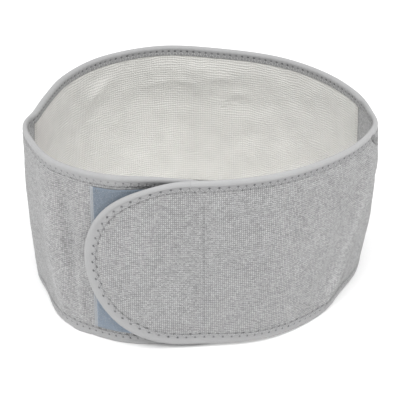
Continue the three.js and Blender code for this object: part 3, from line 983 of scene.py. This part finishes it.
def lining_look():
    """Off-white cloth with fine ribs along it that wander a little."""
    look = Look("lining_knit_look")
    cloth = look.map("cloth")
    u, v = look.parts(cloth)
    rib = 2.1
    wander = look.noise(cloth, 0.05, 2.0)
    ribs = look.wave(look.math("ADD", v, look.math("MULTIPLY", wander, 6.0)), rib)
    bars = look.weigh(0.68, (look.wave(u, rib), 0.44))
    height = look.math("MULTIPLY", look.math("ADD", 0.35, ribs), bars)
    fleck = look.noise(cloth, 0.9, 3.0, 0.6)
    cloud = look.noise(cloth, 0.045, 3.0)
    # The ribs' grooves are painted darker, as painted shade; flecks and clouds vary the tone
    factor = look.weigh(0.66, (height, 0.17), (fleck, 0.14), (cloud, 0.20))
    warm = look.ramp(u, LINING_END - 55, LINING_END - 5)
    cream = look.mix(warm, (0.720, 0.713, 0.680, 1), (0.725, 0.702, 0.672, 1))
    # Painted shade at the top and painted light at the foot: darker towards the top
    factor = look.math("MULTIPLY", factor, look.ramp(v, 35.0, 125.0, 1.03, 0.86))
    colour = look.shade(cream, factor)
    normal = look.bump(height, 0.44, 0.8)
    return look.finish(
        colour, normal, Roughness=0.9, Sheen_Weight=0.2, Sheen_Roughness=0.5, Specular_IOR_Level=0.2
    )


def tape_look():
    """Smooth woven tape, with painted shade in its needle holes and the painted shadow of the zigzag's
    legs.
    """
    look = Look("binding_tape_look")
    cloth = look.map("cloth")
    a, side = look.parts(cloth)
    count, _ = look.parts(look.map("edge"))
    thread_width = 0.55
    slant = look.math("MULTIPLY", a, 0.5)
    one_way = look.wave(look.math("ADD", side, slant), thread_width)
    other_way = look.wave(look.math("SUBTRACT", side, slant), thread_width)
    weave = look.math("MULTIPLY", one_way, other_way)
    fleck = look.noise(look.vector(look.math("MULTIPLY", a, 0.35), side), 1.3, 2.0)
    cloud = look.noise(cloth, 0.08, 2.0)
    # The weave's grooves are painted a little darker, as painted shade; flecks and clouds vary the tone
    factor = look.weigh(0.90, (weave, 0.05), (fleck, 0.08), (cloud, 0.10))

    # On the front's rim the roll is painted paler, as painted light, and the leg below it darker than
    # elsewhere, as painted shade under the roll; elsewhere too the leg is painted a little darker than
    # the roll
    front = look.ramp(a, OUTLINE_LENGTH - 270, OUTLINE_LENGTH - 150)
    front = look.math("MAXIMUM", front, look.ramp(a, 0.0, 45.0, 1.0, 0.0))
    roll = look.math("MULTIPLY_ADD", front, 0.07, 1.0)
    turned = look.math("MULTIPLY_ADD", front, -0.12, 0.95)
    face = look.ramp(side, 3.2, 6.2, roll, turned)
    inner = look.ramp(side, -5.4, -2.6, 0.82, 1.0)
    factor = look.math("MULTIPLY", factor, look.math("MULTIPLY", face, inner))
    colour = look.shade((0.341, 0.341, 0.344, 1), factor)

    # Needle holes: the shade in each is painted dark, fainter on a stretch of the rim
    dark = (0.07, 0.07, 0.075, 1)
    nearest = look.math("FLOOR", look.math("ADD", count, 0.5))
    uneven = look.ramp(look.speckle(look.vector(nearest, 1.0)), 0.0, 1.0, 0.55, 1.0)
    phase = look.math("FRACT", count)
    to_needle = look.math("MINIMUM", phase, look.math("SUBTRACT", 1.0, phase))
    near = look.math("MULTIPLY", to_needle, STITCH_ELSEWHERE)
    rim = AT[5]
    fainter_from = look.ramp(a, rim + 30, rim + 70)
    fainter_to = look.ramp(a, rim + 170, rim + 230, 1.0, 0.0)
    hole_shade = look.math("MULTIPLY_ADD", look.math("MULTIPLY", fainter_from, fainter_to), -0.5, 0.93)
    for needle, facing, size, most in (
        (OUTER_NEEDLE, 1.0, 1.10, hole_shade),
        (INNER_NEEDLE, -1.0, 1.45, 0.97),
    ):
        away = look.math("SUBTRACT", look.math("MULTIPLY", side, facing), needle)
        hole = look.ramp(look.reach(near, away), 0.35, size, most, 0.0)
        colour = look.mix(look.math("MULTIPLY", hole, uneven), colour, dark)

    # Shadow beside the legs, strongest on the tab
    lean = look.gap(phase, 0.5)
    leg = look.math("MULTIPLY_ADD", lean, 2 * (OUTER_NEEDLE - OUTER_LOWER), OUTER_LOWER)
    beyond_tip = look.ramp(a, 15.0, 45.0, 0.12, 0.36)
    on_tab = look.ramp(a, ROUND_LENGTH - 25.0, ROUND_LENGTH + 15.0, 1.0, 0.4)
    shown = look.math("MULTIPLY", beyond_tip, on_tab)
    beside = look.ramp(look.gap(side, leg), 0.3, 1.3, 1.0, 0.0)
    colour = look.mix(look.math("MULTIPLY", beside, shown), colour, dark)
    normal = look.bump(weave, 0.10, 0.8)
    return look.finish(
        colour, normal, Roughness=0.62, Sheen_Weight=0.12, Sheen_Roughness=0.45, Specular_IOR_Level=0.3
    )


def thread_look(name, colour):
    """Two-ply thread."""
    look = Look(name)
    u, v = look.parts(look.map("thread"))
    ply = look.wave(look.math("ADD", look.math("MULTIPLY", u, 2.2), v), 0.5)
    # Painted shade: the groove between the plies is darker
    return look.finish(
        look.shade(colour, look.weigh(0.82, (ply, 0.24))), look.bump(ply, 0.08, 0.8),
        Roughness=0.6, Sheen_Weight=0.1, Specular_IOR_Level=0.3,
    )


def loop_look():
    """Blue-grey pile, beside the paler bare hem."""
    look = Look("loop_pile_look")
    cloth = look.map("cloth")
    u, v = look.parts(cloth)
    fuzz = look.noise(cloth, 1.4, 3.0, 0.7)
    streak = look.noise(look.stretched(u, 2.2, v, 0.35), 0.55, 2.0)
    factor = look.weigh(0.62, (fuzz, 0.42), (streak, 0.34))
    # Painted shade: darker towards the top, where the tab and the rim shade it
    factor = look.math("MULTIPLY", factor, look.ramp(v, 15.0, 125.0, 1.04, 0.84))
    blue = look.shade((0.187, 0.226, 0.274, 1), factor)
    hem = look.shade((0.335, 0.35, 0.37, 1), look.weigh(0.86, (fuzz, 0.26)))
    colour = look.mix(look.ramp(u, 2.0, PATCH_HEM), hem, blue)
    normal = look.bump(fuzz, 0.55, 0.9)
    return look.finish(
        colour, normal, Roughness=0.9, Sheen_Weight=0.3, Sheen_Roughness=0.5, Specular_IOR_Level=0.2
    )


def hook_look():
    """Grey tape with rows of small hooks."""
    look = Look("hook_tape_look")
    cloth = look.map("cloth")
    u, v = look.parts(cloth)
    rows = look.math("MULTIPLY", look.wave(u, 1.5), look.wave(v, 1.2))
    hooks = look.math("POWER", rows, 1.5)
    # Painted shade: darker between the hooks
    factor = look.weigh(0.72, (hooks, 0.3), (look.noise(cloth, 0.3), 0.06))
    colour = look.shade((0.29, 0.29, 0.295, 1), factor)
    return look.finish(colour, look.bump(hooks, 0.7, 1.0), Roughness=0.5, Specular_IOR_Level=0.4)


# Pieces


def dress(piece, look, slot, *nodes):
    piece.data.materials.append(look)
    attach(piece, "root")
    if nodes:
        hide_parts(*nodes)
    return piece


tape = tape_look()
thread = thread_look("thread_look", (0.41, 0.41, 0.415, 1))
inner_thread = thread_look("inner_thread_look", (0.45, 0.45, 0.445, 1))
pale_thread = thread_look("patch_thread_look", (0.42, 0.44, 0.47, 1))

shell = dress(make_shell(), shell_look(), "shell_knit", "shell_band")
lining = dress(make_lining(), lining_look(), "lining_knit", "back_lining")
binding = dress(make_binding(), tape, "binding_tape", "edge_binding")
loops = dress(make_loop_patch(), loop_look(), "loop_pile", "loop_patch")
hooks = dress(make_hook_patch(), hook_look(), "hook_tape", "hook_patch")

outer_stitches = dress(tubes("outer_stitches", stitch_paths(True), 0.30), thread, "binding_tape")
inner_stitches = dress(tubes("inner_stitches", stitch_paths(False), 0.32), inner_thread, "binding_tape")
fibres = dress(tubes("loop_fibres", loop_fibres(), 0.10, 3), loop_look(), "loop_pile")

seam_s = np.array([PATCH_START + PATCH_SEAM] * 2)
seam_z = np.array([PATCH_MARGIN + 0.5, HEIGHT - PATCH_MARGIN - 0.5])
seam_face = SHELL_HALF + CLEARANCE + PATCH_HEM_THICKNESS
patch_legs = run_stitches(seam_s, seam_z, seam_face, 3.0, 0.3)
patch_stitches = dress(tubes("patch_stitches", patch_legs, 0.2), pale_thread, "loop_pile")

# Floor and light
floor_mesh = bpy.data.meshes.new("floor")
floor_mesh.from_pydata([(-3, -3, 0), (3, -3, 0), (3, 3, 0), (-3, 3, 0)], [], [(0, 1, 2, 3)])
floor = bpy.data.objects.new("floor", floor_mesh)
bpy.context.scene.collection.objects.link(floor)
floor_look = Look("floor_look")
floor_look.finish((0.96, 0.96, 0.96, 1), None, Roughness=0.9, Specular_IOR_Level=0.1)
floor_mesh.materials.append(floor_look.material)

bpy.context.scene.view_settings.view_transform = "Standard"
world = bpy.data.worlds.new("studio")
world.use_nodes = True
world.node_tree.nodes["Background"].inputs["Color"].default_value = (1, 1, 1, 1)
world.node_tree.nodes["Background"].inputs["Strength"].default_value = 0.70
bpy.context.scene.world = world


def soft_light(name, place, target, size, power):
    data = bpy.data.lights.new(name, "AREA")
    data.shape = "RECTANGLE"
    data.size, data.size_y = size
    data.energy = power
    light = bpy.data.objects.new(name, data)
    light.location = place
    away = np.array(place) - np.array(target)
    light.rotation_euler = Vector(away).to_track_quat("Z", "Y").to_euler()
    bpy.context.scene.collection.objects.link(light)


soft_light("key_light", (0.0, -0.9, 2.3), (0, 0, 0), (2.4, 2.0), 54.0)
soft_light("left_light", (-1.7, -0.6, 0.8), (0, 0, 0.08), (0.7, 0.7), 7.5)
soft_light("right_light", (1.6, -0.4, 0.7), (0, 0, 0.08), (0.9, 0.9), 5.5)
